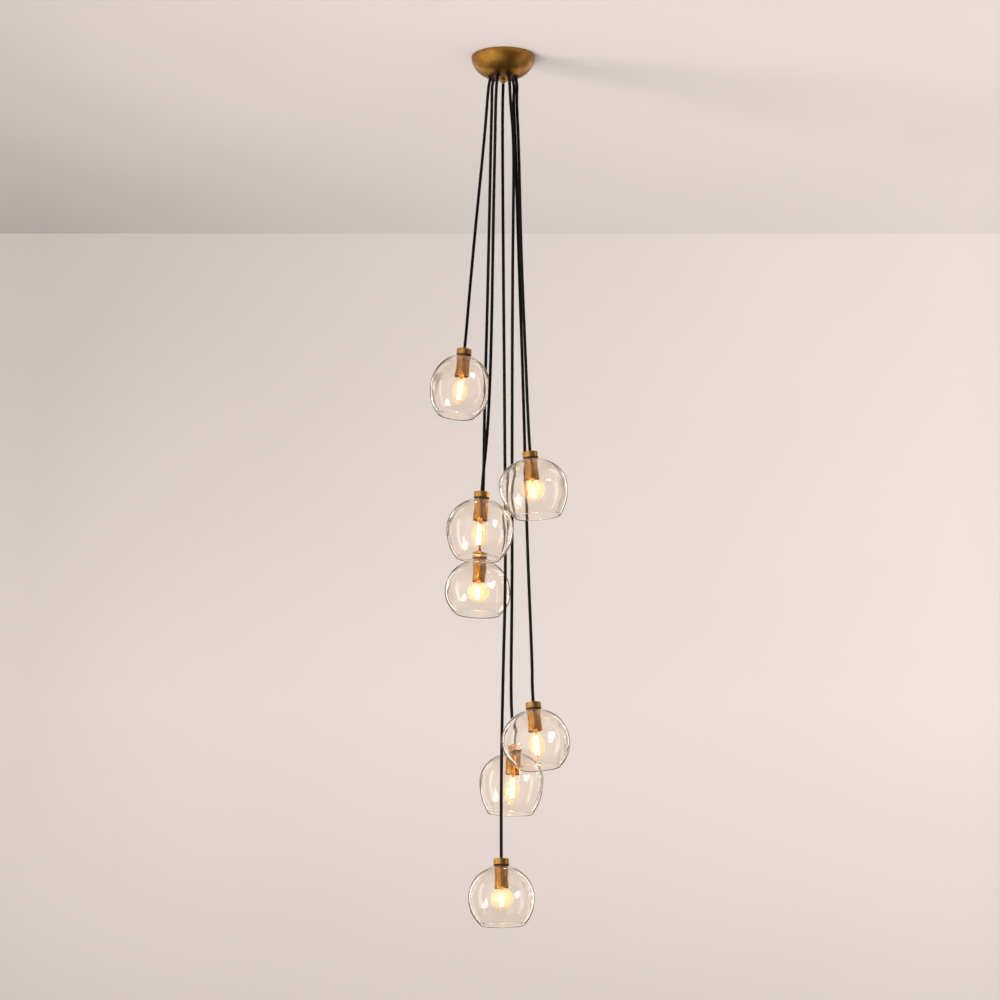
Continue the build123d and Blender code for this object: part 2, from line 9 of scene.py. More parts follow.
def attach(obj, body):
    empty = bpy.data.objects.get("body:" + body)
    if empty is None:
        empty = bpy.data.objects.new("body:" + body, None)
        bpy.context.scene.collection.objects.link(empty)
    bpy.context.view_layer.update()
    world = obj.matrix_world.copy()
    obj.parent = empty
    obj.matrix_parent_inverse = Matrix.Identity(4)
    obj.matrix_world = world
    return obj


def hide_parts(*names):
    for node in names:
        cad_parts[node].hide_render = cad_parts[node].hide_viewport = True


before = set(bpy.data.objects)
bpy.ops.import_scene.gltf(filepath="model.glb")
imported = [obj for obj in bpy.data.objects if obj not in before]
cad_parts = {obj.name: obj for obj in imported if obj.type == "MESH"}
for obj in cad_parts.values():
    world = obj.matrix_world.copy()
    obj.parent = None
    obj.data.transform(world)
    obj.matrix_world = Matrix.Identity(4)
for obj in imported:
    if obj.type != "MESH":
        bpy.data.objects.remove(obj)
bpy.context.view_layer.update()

MM = 0.001
TAU = 2 * math.pi
scene = bpy.context.scene

# ------------------------------------------------------------------ numbers
# The sizes that the scene shares with the model, in millimetres.
CANOPY_RADIUS, CANOPY_DEPTH, CANOPY_WALL = 74.0, 55.0, 1.5
CORD_CIRCLE_RADIUS, CORD_COUNT = 29.5, 7
CAP_RADIUS, CAP_HEIGHT, STEM_RADIUS = 17.5, 13.0, 5.0
UPPER_WASHER_RADIUS, LOWER_WASHER_RADIUS = 17.5, 14.0
GLASS_WALL, LIP_WALL, NECK_HOLE_RADIUS, SHOULDER_RADIUS = 3.0, 4.4, 6.0, 18.0
CUP_RADIUS, CUP_LENGTH, CUP_WALL = 15.6, 44.0, 1.0
GLASS_TOP = -16.5
CUP_TOP = -20.5
HOLDER_TOP, HOLDER_MOUTH, HOLDER_RADIUS = -21.7, -59.7, 13.2
BASE_RIM, BASE_LENGTH, BASE_RADIUS = -60.2, 19.0, 6.95
CONTACT_LEVEL = -36.0  # the underside of the holder's centre contact
CORD_RADIUS = 3.5
BALL_HEIGHT, CORD_EXIT_RUN = 6.0, 14.0  # a cord's straight start, above and below its hole
CORD_END_RUN, CORD_GRIP_DEPTH = 30.0, 10.5  # and its straight end, above and inside the cap
THREAD_PITCH = 2.82
BULB_NECK_RADIUS, ENVELOPE_TOP = 6.25, 5.0
GLOBE_RADIUS, GLOBE_JOIN_SHARE = 25.5, 0.43

LAMPS = {
    1: dict(hole=5, top=(-88.6, -12.0, -704.9), lean=(-0.110, 0.000), bulb="candle", length=0.6740,
            glass=dict(width=138.0, height=141.0, belly=0.53, mouth=83.0,
                       bulge=(1.5, -1.0), mouth_shift=-1.5, spread=0.010)),
    2: dict(hole=2, top=(60.4, -49.0, -953.1), lean=(0.087, 0.020), bulb="globe", length=0.9214,
            glass=dict(width=153.0, height=133.0, belly=0.455, mouth=102.0,
                       bulge=(-1.0, 0.0), mouth_shift=5.0, spread=0.012)),
    3: dict(hole=4, top=(-48.2, -76.0, -1051.4), lean=(-0.058, 0.010), bulb="candle", length=1.0200,
            glass=dict(width=150.0, height=136.5, belly=0.50, mouth=98.0,
                       bulge=(1.0, 0.5), mouth_shift=0.0, spread=0.005)),
    4: dict(hole=6, top=(-53.0, 64.0, -1164.9), lean=(-0.045, -0.005), bulb="globe", length=1.1330,
            glass=dict(width=151.0, height=125.0, belly=0.58, mouth=100.0,
                       bulge=(-1.5, 1.0), mouth_shift=1.0, spread=-0.008)),
    5: dict(hole=1, top=(66.7, -32.0, -1522.1), lean=(0.079, -0.040), bulb="candle", length=1.4951,
            glass=dict(width=151.0, height=132.0, belly=0.545, mouth=90.0,
                       bulge=(-2.7, -0.5), mouth_shift=3.0, spread=0.006)),
    6: dict(hole=3, top=(21.9, 88.0, -1602.8), lean=(-0.026, 0.000), bulb="candle", length=1.5763,
            glass=dict(width=143.0, height=138.0, belly=0.47, mouth=101.0,
                       bulge=(-1.0, 0.0), mouth_shift=-2.0, spread=0.012)),
    7: dict(hole=0, top=(-4.6, 5.0, -1866.8), lean=(0.012, -0.020), bulb="globe", length=1.8339,
            glass=dict(width=149.0, height=132.0, belly=0.54, mouth=96.0,
                       bulge=(-1.2, 0.5), mouth_shift=1.0, spread=-0.006)),
}

# Each cord's route between its exit from the canopy and its run into the cap.
ROUTES = {
    1: [(-36.7, -8.0, -107.3), (-43.8, -9.0, -204.5), (-62.3, -10.0, -397.1),
        (-78.5, -11.0, -583.1)],
    2: [(30.8, -11.0, -108.3), (35.8, -14.0, -210.9), (40.8, -22.0, -472.2),
        (50.4, -35.0, -722.9)],
    3: [(-17.4, -31.0, -114.9), (-18.5, -35.0, -193.2), (-22.6, -47.0, -394.6),
        (-27.2, -61.0, -716.8), (-34.6, -69.5, -904.8)],
    4: [(-26.1, 22.0, -97.5), (-28.6, 25.0, -193.4), (-32.0, 33.0, -372.5),
        (-37.6, 42.0, -633.2), (-43.2, 45.0, -833.5), (-44.9, 52.0, -1019.5)],
    5: [(23.5, 23.0, -97.1), (28.4, 27.0, -193.1), (35.1, 33.0, -456.6),
        (46.2, 37.0, -788.3), (53.9, 35.0, -1139.2), (64.9, -18.0, -1435.0)],
    6: [(16.4, -26.0, -113.3), (25.4, -20.0, -220.1), (21.8, -4.0, -467.1),
        (19.9, 15.5, -864.3), (20.2, 31.0, -1255.4), (16.5, 70.0, -1501.5)],
    7: [(-1.4, 32.0, -99.0), (-1.6, 30.0, -197.0), (-0.1, 24.0, -459.1),
        (2.8, 11.0, -818.1), (5.7, 5.0, -1225.7), (-0.3, 5.0, -1438.2),
        (-4.5, 5.5, -1657.3)],
}


# ----------------------------------------------------------------- placing
def place(origin, x_dir, z_dir):
    """A matrix from a local frame in mm to the row frame in metres."""
    z = Vector(z_dir).normalized()
    x = Vector(x_dir)
    x = (x - z * x.dot(z)).normalized()
    y = z.cross(x)
    turn = Matrix((x, y, z)).transposed().to_4x4()
    return Matrix.Translation(Vector(origin) * MM) @ turn @ Matrix.Scale(MM, 4)


def hole_place(number):
    turn = math.radians(90 - number * 360 / CORD_COUNT)
    x, y = CORD_CIRCLE_RADIUS * math.cos(turn), CORD_CIRCLE_RADIUS * math.sin(turn)
    z = -CANOPY_DEPTH * math.sqrt(1 - (CORD_CIRCLE_RADIUS / CANOPY_RADIUS)**2)
    outward = Vector((x / CANOPY_RADIUS**2, y / CANOPY_RADIUS**2, z / CANOPY_DEPTH**2))
    return place((x, y, z), (-y, x, 0), -outward)


def lamp_place(number):
    right, back = LAMPS[number]["lean"]
    return place(LAMPS[number]["top"], (1, 0, right), (-right, -back, 1))


# ----------------------------------------------------------------- materials
BRUSH_DEPTH = 0.000012  # metres


class Shader:
    """A node-based material, built a node at a time."""

    def __init__(self, name):
        self.mat = bpy.data.materials.new(name)
        self.mat.use_nodes = True
        self.tree = self.mat.node_tree
        self.tree.nodes.clear()
        self.out = self.node("OutputMaterial")

    def node(self, kind, **values):
        made = self.tree.nodes.new("ShaderNode" + kind)
        for key, value in values.items():
            if hasattr(made, key):
                setattr(made, key, value)
            else:
                self.set(made, key.replace("_", " "), value)
        return made

    def set(self, node, socket, value):
        if isinstance(value, bpy.types.NodeSocket):
            self.tree.links.new(value, node.inputs[socket])
        else:
            node.inputs[socket].default_value = value

    def link(self, source, target):
        self.tree.links.new(source, target)

    def math(self, operation, a, b=None):
        made = self.node("Math", operation=operation)
        self.set(made, 0, a)
        if b is not None:
            self.set(made, 1, b)
        return made.outputs[0]

    def along(self):
        """Round and along a turned piece: cosine, sine and metres of profile."""
        return self.node("Attribute", attribute_name="turned").outputs["Vector"]

    def place(self):
        return self.node("TexCoord").outputs["Object"]

    def noise(self, vector, scale, detail=3.0, roughness=0.5, stretch=(1, 1, 1)):
        mapping = self.node("Mapping", Vector=vector)
        mapping.inputs["Scale"].default_value = stretch
        made = self.node("TexNoise", Vector=mapping.outputs[0], Scale=scale, Detail=detail,
                         Roughness=roughness)
        return made.outputs["Fac"]

    def ramp(self, factor, *stops):
        made = self.node("ValToRGB", Fac=factor)
        while len(made.color_ramp.elements) < len(stops):
            made.color_ramp.elements.new(0.5)
        for element, (position, colour) in zip(made.color_ramp.elements, stops):
            element.position = position
            element.color = (*colour, 1) if len(colour) == 3 else colour
        return made.outputs["Color"]

    def spread(self, factor, low, high):
        """A grey value between two limits."""
        made = self.node("MapRange", Value=factor)
        made.inputs["To Min"].default_value = low
        made.inputs["To Max"].default_value = high
        return made.outputs["Result"]

    def bump(self, height, depth, strength):
        made = self.node("Bump", Height=height, Strength=strength, Distance=depth)
        return made.outputs["Normal"]

    def principled(self, **values):
        made = self.node("BsdfPrincipled")
        for key, value in values.items():
            self.set(made, key.replace("_", " "), value)
        self.link(made.outputs[0], self.out.inputs["Surface"])
        return made


def brass(name, dark, mid, light, rough):
    """Brushed, slightly tarnished brass. The brush marks run round the piece."""
    s = Shader(name)
    strokes = s.noise(s.along(), 1.0, 4.0, 0.65, (3, 3, 2600))
    blotches = s.noise(s.place(), 38.0, 4.0, 0.6)
    fine = s.noise(s.place(), 420.0, 2.0, 0.5)
    mixed = s.math("ADD", s.math("MULTIPLY", blotches, 0.62), s.math("MULTIPLY", strokes, 0.30))
    mixed = s.math("ADD", mixed, s.math("MULTIPLY", fine, 0.08))
    colour = s.ramp(mixed, (0.30, dark), (0.50, mid), (0.72, light))
    s.principled(Base_Color=colour, Metallic=1.0, Roughness=s.spread(mixed, rough[1], rough[0]),
                 Normal=s.bump(strokes, BRUSH_DEPTH, 0.5))
    return s.mat


def steel():
    """Zinc-plated steel with a faint mottle."""
    s = Shader("zinc_plate")
    blotches = s.noise(s.place(), 90.0, 4.0, 0.6)
    fine = s.noise(s.place(), 900.0, 2.0, 0.5)
    colour = s.ramp(blotches, (0.3, (0.46, 0.47, 0.47)), (0.7, (0.66, 0.66, 0.63)))
    s.principled(Base_Color=colour, Metallic=1.0, Roughness=s.spread(fine, 0.26, 0.44),
                 Normal=s.bump(fine, 0.00002, 0.4))
    return s.mat


def plastic(name, dark, light, rough=(0.45, 0.6), grain=1400.0):
    """Moulded plastic or rubber with a fine grain."""
    s = Shader(name)
    blotches = s.noise(s.place(), 60.0, 3.0, 0.5)
    fine = s.noise(s.place(), grain, 2.0, 0.5)
    s.principled(Base_Color=s.ramp(blotches, (0.3, dark), (0.7, light)),
                 Roughness=s.spread(fine, rough[0], rough[1]), Normal=s.bump(fine, 0.00003, 0.4))
    return s.mat


def braid():
    """Black cotton braid: two sets of yarns that cross in diamonds."""
    s = Shader("cord_braid")
    uv = s.node("UVMap").outputs[0]
    split = s.node("SeparateXYZ", Vector=uv)
    across, down = split.outputs["X"], split.outputs["Y"]
    left = s.math("SINE", s.math("MULTIPLY", s.math("ADD", across, down), TAU))
    right = s.math("SINE", s.math("MULTIPLY", s.math("SUBTRACT", across, down), TAU))
    weave = s.math("MAXIMUM", left, right)
    yarn = s.noise(uv, 1.0, 3.0, 0.6, (9, 60, 1))
    fuzz = s.noise(s.place(), 2600.0, 2.0, 0.6)
    height = s.math("ADD", s.math("MULTIPLY", weave, 0.5), s.math("MULTIPLY", fuzz, 0.25))
    tone = s.math("ADD", s.spread(weave, -0.1, 0.5), s.math("MULTIPLY", yarn, 0.5))
    colour = s.ramp(tone, (0.15, (0.0025, 0.002, 0.0018)), (0.9, (0.012, 0.010, 0.008)))
    s.principled(Base_Color=colour, Roughness=0.8, Specular_IOR_Level=0.14, Sheen_Weight=0.02,
                 Sheen_Roughness=0.5, Normal=s.bump(height, 0.00035, 0.8))
    return s.mat


def let_light_through(s, surface, clear=(1, 1, 1)):
    """Lamp rays pass glass straight, so that what is inside it is lit."""
    path = s.node("LightPath")
    through = s.node("BsdfTransparent", Color=(*clear, 1))
    lamp_ray = s.math("MAXIMUM", path.outputs["Is Shadow Ray"], path.outputs["Is Diffuse Ray"])
    mix = s.node("MixShader")
    s.set(mix, 0, lamp_ray)
    s.link(surface, mix.inputs[1])
    s.link(through.outputs[0], mix.inputs[2])
    s.link(mix.outputs[0], s.out.inputs["Surface"])


def shade_glass():
    """Clear blown glass with faint cords and ripples in its skin, and a painted warm glow on each face."""
    s = Shader("blown_glass")
    ripple = s.noise(s.place(), 26.0, 2.0, 0.4, (1, 1, 2.2))
    streak = s.noise(s.place(), 9.0, 3.0, 0.5, (1, 1, 6))
    height = s.math("ADD", ripple, s.math("MULTIPLY", streak, 0.6))
    tint = s.ramp(streak, (0.3, (1.0, 0.985, 0.955)), (0.7, (1.0, 0.992, 0.972)))
    # the emission paints a warm glow on the glass, standing in for the bulb's light in it
    p = s.principled(Base_Color=tint, Roughness=0.0, IOR=1.47, Transmission_Weight=1.0,
                     Emission_Color=(1.0, 0.42, 0.10, 1), Emission_Strength=PAINTED_GLASS_GLOW,
                     Normal=s.bump(height, 0.0012, 0.35))
    let_light_through(s, p.outputs[0], (0.96, 0.95, 0.93))
    body = s.node("VolumeAbsorption", Color=(0.62, 0.52, 0.42, 1), Density=GLASS_DENSITY)
    s.link(body.outputs[0], s.out.inputs["Volume"])
    return s.mat


def bulb_shell():
    """The thin envelope of a bulb: clear, with a warm cast and soft gloss, a painted highlight on its rim and
    a painted glow inside.
    """
    s = Shader("bulb_envelope")
    cast = s.noise(s.place(), 30.0, 2.0, 0.5)
    tint = s.ramp(cast, (0.3, (1.0, 0.93, 0.82)), (0.7, (1.0, 0.96, 0.88)))
    through = s.node("BsdfTransparent", Color=tint)
    # a gloss colour above white paints a highlight on the envelope's rim
    gloss = s.node("BsdfGlossy", Roughness=0.03, Color=PAINTED_RIM_HIGHLIGHT)
    front = s.math("SUBTRACT", 1.0, s.node("NewGeometry").outputs["Backfacing"])
    mix = s.node("MixShader")
    s.set(mix, 0, s.math("MULTIPLY", s.node("Fresnel", IOR=1.5).outputs[0], front))
    s.link(through.outputs[0], mix.inputs[1])
    s.link(gloss.outputs[0], mix.inputs[2])
    s.link(mix.outputs[0], s.out.inputs["Surface"])
    # painted glow: an emission that fills the bulb, standing in for the halo round the filaments
    painted_glow = s.node("Emission", Color=(1.0, 0.50, 0.17, 1), Strength=PAINTED_BULB_GLOW)
    s.link(painted_glow.outputs[0], s.out.inputs["Volume"])
    return s.mat


def stem_glass():
    """The clear glass post that carries the filaments."""
    s = Shader("bulb_stem_glass")
    swirl = s.noise(s.place(), 200.0, 2.0, 0.5)
    p = s.principled(Base_Color=s.ramp(swirl, (0.3, (0.95, 0.9, 0.82)), (0.7, (1.0, 0.97, 0.92))),
                     Roughness=0.05, IOR=1.5, Transmission_Weight=1.0)
    let_light_through(s, p.outputs[0])
    return s.mat


def filament():
    """Glowing sticks, with a fine grain in their colour."""
    s = Shader("filament_glow")
    grain = s.noise(s.place(), 900.0, 2.0, 0.5)
    colour = s.ramp(grain, (0.2, (1.0, 0.62, 0.22)), (0.8, (1.0, 0.74, 0.34)))
    s.principled(Base_Color=(1.0, 0.8, 0.5, 1), Roughness=0.5, Emission_Color=colour,
                 Emission_Strength=FILAMENT_STRENGTH)
    return s.mat


FILAMENT_STRENGTH = 60.0
PAINTED_RIM_HIGHLIGHT = (1.9, 1.6, 1.15, 1)  # painted highlight: the rim's gloss is set brighter than the room that it mirrors
PAINTED_BULB_GLOW = 19.0  # a painted glow that fills the bulb round the filaments, per metre of bulb
PAINTED_GLASS_GLOW = 0.018  # a painted warm glow on each face of the shade
GLASS_DENSITY = 14.0  # per metre, so that the glass draws its own edges

CANOPY_BRASS = brass("aged_brass", (0.32, 0.135, 0.020), (0.43, 0.205, 0.042),
                     (0.56, 0.30, 0.09), (0.34, 0.46))
CAP_BRASS = brass("cap_brass", (0.40, 0.18, 0.035), (0.55, 0.28, 0.075),
                  (0.68, 0.40, 0.15), (0.22, 0.34))
CUP_BRASS = brass("cup_brass", (0.27, 0.095, 0.008), (0.46, 0.185, 0.018),
                  (0.70, 0.36, 0.06), (0.16, 0.28))
THREAD_BRASS = brass("thread_brass", (0.5, 0.34, 0.14), (0.62, 0.44, 0.2),
                     (0.74, 0.56, 0.3), (0.2, 0.32))
STEEL = steel()
BLACK_NYLON = plastic("black_nylon", (0.012, 0.012, 0.012), (0.028, 0.027, 0.026))
BLACK_PHENOLIC = plastic("black_phenolic", (0.018, 0.015, 0.013), (0.04, 0.034, 0.03), (0.3, 0.5))
BLACK_RUBBER = plastic("black_rubber", (0.01, 0.01, 0.01), (0.022, 0.021, 0.02), (0.7, 0.85),
                       grain=2200.0)
WHITE_NYLON = plastic("white_nylon", (0.74, 0.72, 0.66), (0.84, 0.83, 0.79), (0.4, 0.55))
LEAD_SKIN = plastic("lead_insulation", (0.02, 0.02, 0.02), (0.05, 0.05, 0.05), (0.3, 0.42))
BRAID = braid()
GLASS = shade_glass()
ENVELOPE = bulb_shell()
STEM_GLASS = stem_glass()
FILAMENT = filament()


# -------------------------------------------------------------------- pieces
def piece(name, vertices, faces, material, body):
    mesh = bpy.data.meshes.new(name)
    mesh.from_pydata([tuple(v) for v in vertices], [], faces)
    mesh.validate()
    mesh.update()
    mesh.materials.append(material)
    mesh.polygons.foreach_set("use_smooth", [True] * len(mesh.polygons))
    made = bpy.data.objects.new(name, mesh)
    scene.collection.objects.link(made)
    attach(made, body)
    return made


def rounded(corners, steps=5):
    """An outline of (radius, level, fillet) corners with each corner rounded."""
    points = []
    count = len(corners)
    for i, (r, z, fillet) in enumerate(corners):
        here = np.array((r, z), float)
        if fillet <= 0:
            points.append(tuple(here))
            continue
        before = np.array(corners[(i - 1) % count][:2], float) - here
        after = np.array(corners[(i + 1) % count][:2], float) - here
        reach = min(fillet, 0.49 * np.linalg.norm(before), 0.49 * np.linalg.norm(after))
        start = here + before / np.linalg.norm(before) * reach
        end = here + after / np.linalg.norm(after) * reach
        for step in range(steps + 1):
            t = step / steps
            points.append(tuple((1 - t)**2 * start + 2 * t * (1 - t) * here + t**2 * end))
    return points


def turned(name, outline, where, material, body, segments=96, closed=True, wobble=None):
    """A lathed piece from its outline, with the profile length kept for brush marks."""
    outline = [p for i, p in enumerate(outline) if i == 0 or math.dist(p, outline[i - 1]) > 1e-6]
    travel = [0.0]
    for a, b in zip(outline, outline[1:]):
        travel.append(travel[-1] + math.dist(a, b) * MM)
    vertices, marks, rows = [], [], []
    for (r, z), length in zip(outline, travel):
        if r < 1e-6:
            rows.append([len(vertices)])
            vertices.append(where @ Vector((0, 0, z)))
            marks.append((1.0, 0.0, length))
            continue
        row = []
        for k in range(segments):
            angle = TAU * k / segments
            radius = r + (wobble(angle, z) if wobble else 0)
            row.append(len(vertices))
            x, y = radius * math.cos(angle), radius * math.sin(angle)
            vertices.append(where @ Vector((x, y, z)))
            marks.append((math.cos(angle), math.sin(angle), length))
        rows.append(row)
    faces = []
    pairs = list(zip(rows, rows[1:]))
    if closed and len(rows[0]) > 1 and len(rows[-1]) > 1:
        pairs.append((rows[-1], rows[0]))
    for upper, lower in pairs:
        for k in range(segments):
            n = (k + 1) % segments
            if len(upper) == 1 and len(lower) == 1:
                continue
            if len(upper) == 1:
                faces.append((upper[0], lower[k], lower[n]))
            elif len(lower) == 1:
                faces.append((upper[n], upper[k], lower[0]))
            else:
                faces.append((upper[k], lower[k], lower[n], upper[n]))
    made = piece(name, vertices, faces, material, body)
    layer = made.data.attributes.new("turned", "FLOAT_VECTOR", "POINT")
    layer.data.foreach_set("vector", [x for m in marks for x in m])
    recalculate(made)
    return made


def recalculate(made):
    """Faces look outwards."""
    bm = bmesh.new()
    bm.from_mesh(made.data)
    bmesh.ops.recalc_face_normals(bm, faces=bm.faces)
    bm.to_mesh(made.data)
    bm.free()


# --------------------------------------------------------------------- cords
def cord(number):
    hole, lamp = hole_place(LAMPS[number]["hole"]), lamp_place(number)
    points = [hole @ Vector((0, 0, BALL_HEIGHT)), hole @ Vector((0, 0, -CORD_EXIT_RUN))]
    points += [Vector(p) * MM for p in ROUTES[number]]
    points += [lamp @ Vector((0, 0, CORD_END_RUN)), lamp @ Vector((0, 0, -CORD_GRIP_DEPTH))]
    curve = bpy.data.curves.new(f"cord_{number}_fabric", "CURVE")
    curve.dimensions = "3D"
    curve.resolution_u = 24
    curve.bevel_depth = CORD_RADIUS * MM
    curve.bevel_resolution = 6
    curve.use_fill_caps = True
    spline = curve.splines.new("NURBS")
    spline.points.add(len(points) - 1)
    for knot, p in zip(spline.points, points):
        knot.co = (*p, 1)
    spline.order_u = 3
    spline.use_endpoint_u = True
    made = bpy.data.objects.new(f"cord_{number}_fabric", curve)
    scene.collection.objects.link(made)
    curve.materials.append(BRAID)
    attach(made, f"cord_{number}")
    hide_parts(f"cord_{number}")


for number in LAMPS:
    cord(number)


# -------------------------------------------------------------------- shades
def glass_profile(glass, inset, lip, steps):
    """(radius, level) down to the mouth, as the model's sections."""
    radius = glass["width"] / 2 - inset
    rise = glass["belly"] * glass["height"] - inset
    drop = (1 - glass["belly"]) * glass["height"]
    mouth = glass["mouth"] / 2 - lip
    upper = rise / math.sqrt(1 - (SHOULDER_RADIUS / radius)**2)
    lower = drop / math.sqrt(1 - (mouth / radius)**2)
    first, last = math.acos(SHOULDER_RADIUS / radius), -math.acos(mouth / radius)
    belly = GLASS_TOP - inset - rise
    found = []
    for step in range(steps + 1):
        angle = first + (last - first) * step / steps
        level = belly + (upper if angle > 0 else lower) * math.sin(angle)
        found.append((radius * math.cos(angle), level))
    return found


def shade(number):
    glass, where = LAMPS[number]["glass"], lamp_place(number)
    bottom = GLASS_TOP - glass["height"]
    outer = glass_profile(glass, 0, 0, 56)
    inner = glass_profile(glass, GLASS_WALL, LIP_WALL, 56)
    lip = 1.7
    outer = [p for p in outer if p[1] > bottom + lip]
    inner = [p for p in inner if p[1] > bottom + lip]
    middle, half = (outer[-1][0] + inner[-1][0]) / 2, (outer[-1][0] - inner[-1][0]) / 2
    mouth = [(middle + half * math.cos(a), bottom + lip - lip * math.sin(a))
             for a in [math.pi * k / 8 for k in range(1, 8)]]
    top = [(NECK_HOLE_RADIUS, GLASS_TOP), (NECK_HOLE_RADIUS + 4, GLASS_TOP)]
    under = [(NECK_HOLE_RADIUS + 4, GLASS_TOP - GLASS_WALL),
             (NECK_HOLE_RADIUS, GLASS_TOP - GLASS_WALL)]
    sides = [0] * len(top) + [1] * len(outer) + [2] * len(mouth) + [3] * len(inner) + [0] * len(under)
    outline = top + outer + mouth + inner[::-1] + under
    segments = 160
    vertices, rows = [], []
    for (r, z), side in zip(outline, sides):
        share = (GLASS_TOP - z) / glass["height"]
        swell = math.sin(math.pi * min(1, max(0, share)))
        shift = (glass["bulge"][0] * swell + glass["mouth_shift"] * share**2,
                 glass["bulge"][1] * swell)
        row = []
        for k in range(segments):
            angle = TAU * k / segments
            seed = Vector((1.6 * math.cos(angle), 1.6 * math.sin(angle), z / 45 + 7 * number))
            wave = noise.noise(seed) * 0.9 * swell
            if side == 3:
                wave = noise.noise(seed * 1.7 + Vector((0, 0, 40))) * 0.7 * swell
            a = r * (1 + glass["spread"] * swell) + wave
            b = r * (1 - glass["spread"] * swell) + wave
            row.append(len(vertices))
            x, y = a * math.cos(angle) + shift[0], b * math.sin(angle) + shift[1]
            vertices.append(where @ Vector((x, y, z)))
        rows.append(row)
    faces = []
    for upper, lower in zip(rows, rows[1:] + rows[:1]):
        for k in range(segments):
            n = (k + 1) % segments
            faces.append((upper[k], lower[k], lower[n], upper[n]))
    made = piece(f"shade_{number}_blown_glass", vertices, faces, GLASS, f"lamp_{number}")
    recalculate(made)
    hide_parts(f"shade_{number}")


# ------------------------------------------------------------- lamp fittings
def cap(number):
    where, body = lamp_place(number), f"lamp_{number}"
    outline = rounded([(4.0, 0, 0.5), (CAP_RADIUS, 0, 1.2), (CAP_RADIUS, -CAP_HEIGHT, 0.8),
                       (STEM_RADIUS, -CAP_HEIGHT, 0), (STEM_RADIUS, HOLDER_TOP - 6, 0.3),
                       (3.0, HOLDER_TOP - 6, 0), (3.0, -11, 0), (4.0, -10.5, 0)])
    made = turned(f"cap_{number}_brass", outline, where, CAP_BRASS, body)
    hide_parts(f"cap_{number}")


def cup(number):
    where, body = lamp_place(number), f"lamp_{number}"
    bottom = CUP_TOP - CUP_LENGTH
    inner = CUP_RADIUS - CUP_WALL
    outline = rounded([(5.2, CUP_TOP, 0.3), (CUP_RADIUS, CUP_TOP, 1.4), (CUP_RADIUS, bottom + 2.2, 0.3),
                       (CUP_RADIUS + 0.45, bottom + 1.3, 0.6), (CUP_RADIUS + 0.2, bottom, 0.4),
                       (inner, bottom, 0.3), (inner, CUP_TOP - 1.2, 0.5), (5.2, CUP_TOP - 1.2, 0)])
    made = turned(f"socket_cup_{number}_brass", outline, where, CUP_BRASS, body)
    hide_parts(f"socket_cup_{number}")


def holder(number):
    where, body = lamp_place(number), f"lamp_{number}"
    bore, ceiling = 8.15, CONTACT_LEVEL + 0.6
    outline = rounded([(5.1, HOLDER_TOP, 0.4), (HOLDER_RADIUS, HOLDER_TOP, 0.8),
                       (HOLDER_RADIUS, HOLDER_MOUTH, 0.9), (bore, HOLDER_MOUTH, 0.7),
                       (bore, ceiling, 0), (2.2, ceiling, 0), (2.2, HOLDER_TOP - 6.1, 0),
                       (5.1, HOLDER_TOP - 6.1, 0)])
    made = turned(f"lampholder_{number}_body", outline, where, BLACK_PHENOLIC, body)
    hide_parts(f"lampholder_{number}")
    top, end = ceiling - 2, HOLDER_MOUTH + 2
    shell = rounded([(8.0, top, 0.2), (8.0, end, 0.2), (7.35, end, 0.2), (7.35, top, 0.2)], 2)
    turned(f"lampholder_{number}_screw_shell", shell, where, THREAD_BRASS, body, 64)
    tongue = rounded([(0, ceiling - 0.05, 0), (4.0, ceiling - 0.05, 0.2), (4.0, CONTACT_LEVEL + 0.05, 0.2),
                      (0, CONTACT_LEVEL + 0.05, 0)], 2)
    turned(f"lampholder_{number}_contact", tongue, where, THREAD_BRASS, body, 48, False)
    for part, upper, lower, radius in (("upper", -CAP_HEIGHT, GLASS_TOP, UPPER_WASHER_RADIUS),
                                       ("lower", GLASS_TOP - GLASS_WALL, CUP_TOP, LOWER_WASHER_RADIUS)):
        upper, lower = upper - 0.05, lower + 0.05
        ring = rounded([(5.1, upper, 0), (radius, upper, 0.4), (radius, lower, 0.4), (5.1, lower, 0)])
        turned(f"shade_{number}_{part}_washer", ring, where, BLACK_RUBBER, body, 64)


def bulb_base(number):
    where, body = lamp_place(number), f"bulb_base_{number}"
    shoulder = BASE_RIM + BASE_LENGTH
    steps = 96
    outline = [(BASE_RADIUS - 0.4, BASE_RIM + 0.1), (BASE_RADIUS - 0.1, BASE_RIM)]
    outline += [(BASE_RADIUS - 0.45, BASE_RIM + 0.3 + (BASE_LENGTH - 1.2) * k / steps)
                for k in range(steps + 1)]
    outline += rounded([(BASE_RADIUS - 0.9, shoulder, 0.4), (3.6, shoulder + 3.3, 0.4),
                        (2.5, shoulder + 3.4, 0.2)], 3)
    outline += [(BASE_RADIUS - 1.4, shoulder - 1), (BASE_RADIUS - 1.4, BASE_RIM + 0.1)]

    def thread(angle, z):
        climb = (z - BASE_RIM) / THREAD_PITCH
        run = min(1, max(0, (z - BASE_RIM - 2.5) / 1.5)) * min(1, max(0, (shoulder - 1.2 - z) / 1.5))
        return 0.42 * run * math.sin(TAU * climb + angle)

    made = turned(f"bulb_{number}_screw_base", outline, where, THREAD_BRASS, body, 64,
                  True, thread)
    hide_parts(f"bulb_base_{number}")
    cone = rounded([(0, shoulder + 3.35, 0), (2.3, shoulder + 3.35, 0.1), (2.3, shoulder + 4.8, 0.5),
                    (0, shoulder + 4.9, 0)], 4)
    turned(f"bulb_{number}_contact", cone, where, THREAD_BRASS, body, 48, False)


def candle_shape():
    """The pointed bulb's half section, from its neck to its tip."""
    knots = [(BULB_NECK_RADIUS, -1.0), (7.4, -6.0), (11.4, -14.5), (15.9, -24.0), (18.0, -34.0),
             (17.2, -43.5), (13.6, -54.0), (9.0, -62.5), (4.8, -68.7), (2.2, -72.4), (0, -73.8)]
    return smooth_line(knots)


